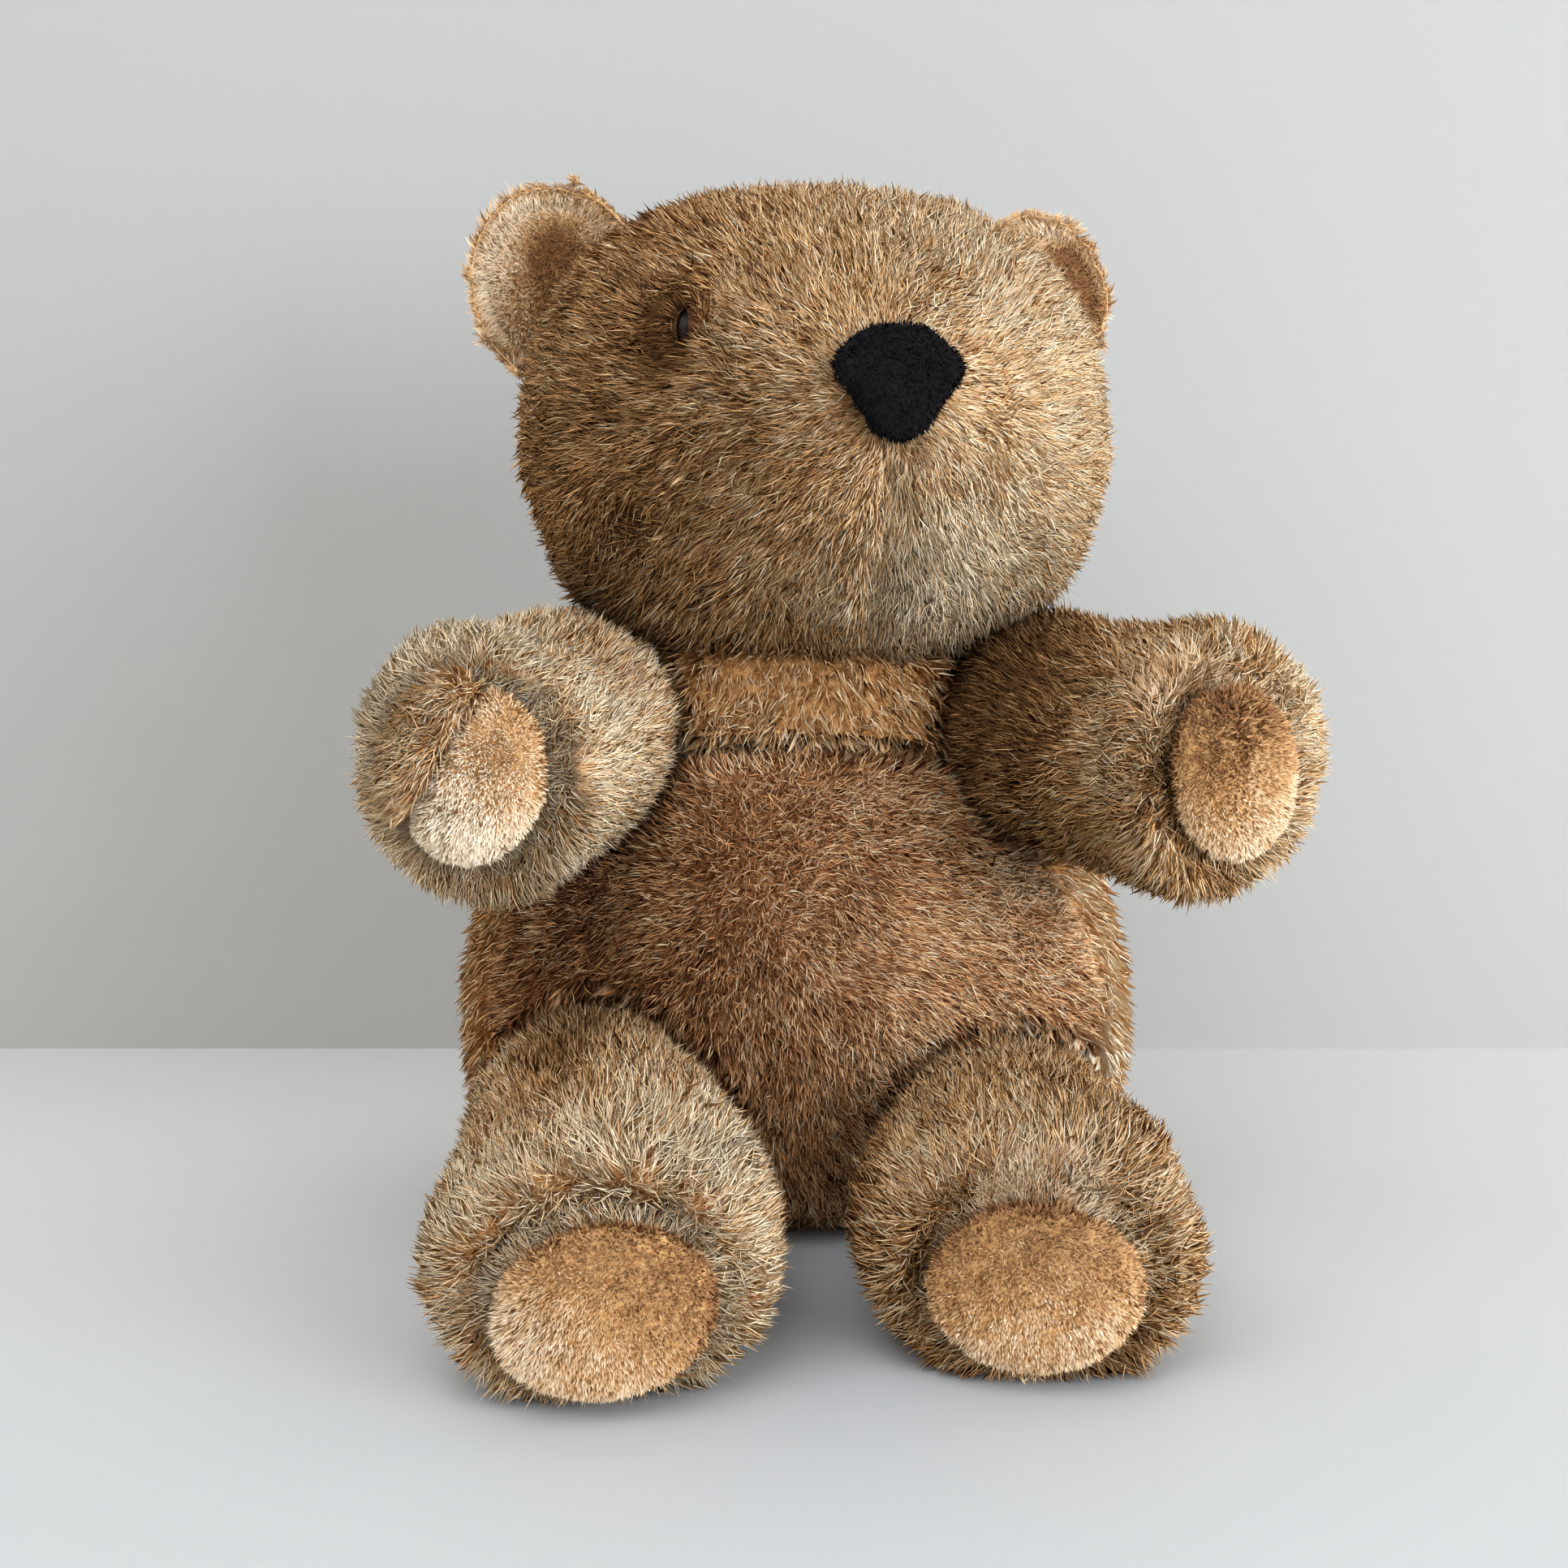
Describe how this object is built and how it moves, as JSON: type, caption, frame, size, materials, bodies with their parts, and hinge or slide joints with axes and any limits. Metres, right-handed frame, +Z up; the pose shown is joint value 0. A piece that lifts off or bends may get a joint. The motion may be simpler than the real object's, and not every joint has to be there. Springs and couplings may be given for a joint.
{
  "type": "threadbare teddy bear",
  "caption": "Worn sitting plush bear with round dished ears, black velvet nose, belly panel and short-pile paw and foot pads.",
  "frame": {"origin": "middle of the bounding box's foot, on the surface that the bear sits on", "axes": "+Z up, the bear's body faces -Y, +X is its left side"},
  "size_m": [0.3138, 0.3186, 0.3783],
  "materials": {
    "long_fur": "long frosted plush, golden brown with cream tips, worn",
    "belly_fur": "shorter red-brown plush, matted",
    "short_plush": "short golden tan plush, clumped, paler where worn",
    "nose_velvet": "black velvet",
    "eye_bead": "dark brown gloss, scuffed"
  },
  "bodies": {
    "root": {"head": "long_fur", "torso": "long_fur", "belly_panel": "belly_fur", "nose": "nose_velvet", "eye": "eye_bead", "arm_left": "long_fur", "arm_right": "long_fur", "leg_left": "long_fur", "leg_right": "long_fur", "ear_left_back": "long_fur", "ear_right_back": "long_fur", "ear_left_lining": "short_plush", "ear_right_lining": "short_plush", "arm_left_pad": "short_plush", "arm_right_pad": "short_plush", "leg_left_pad": "short_plush", "leg_right_pad": "short_plush"}
  },
  "joints": []
}
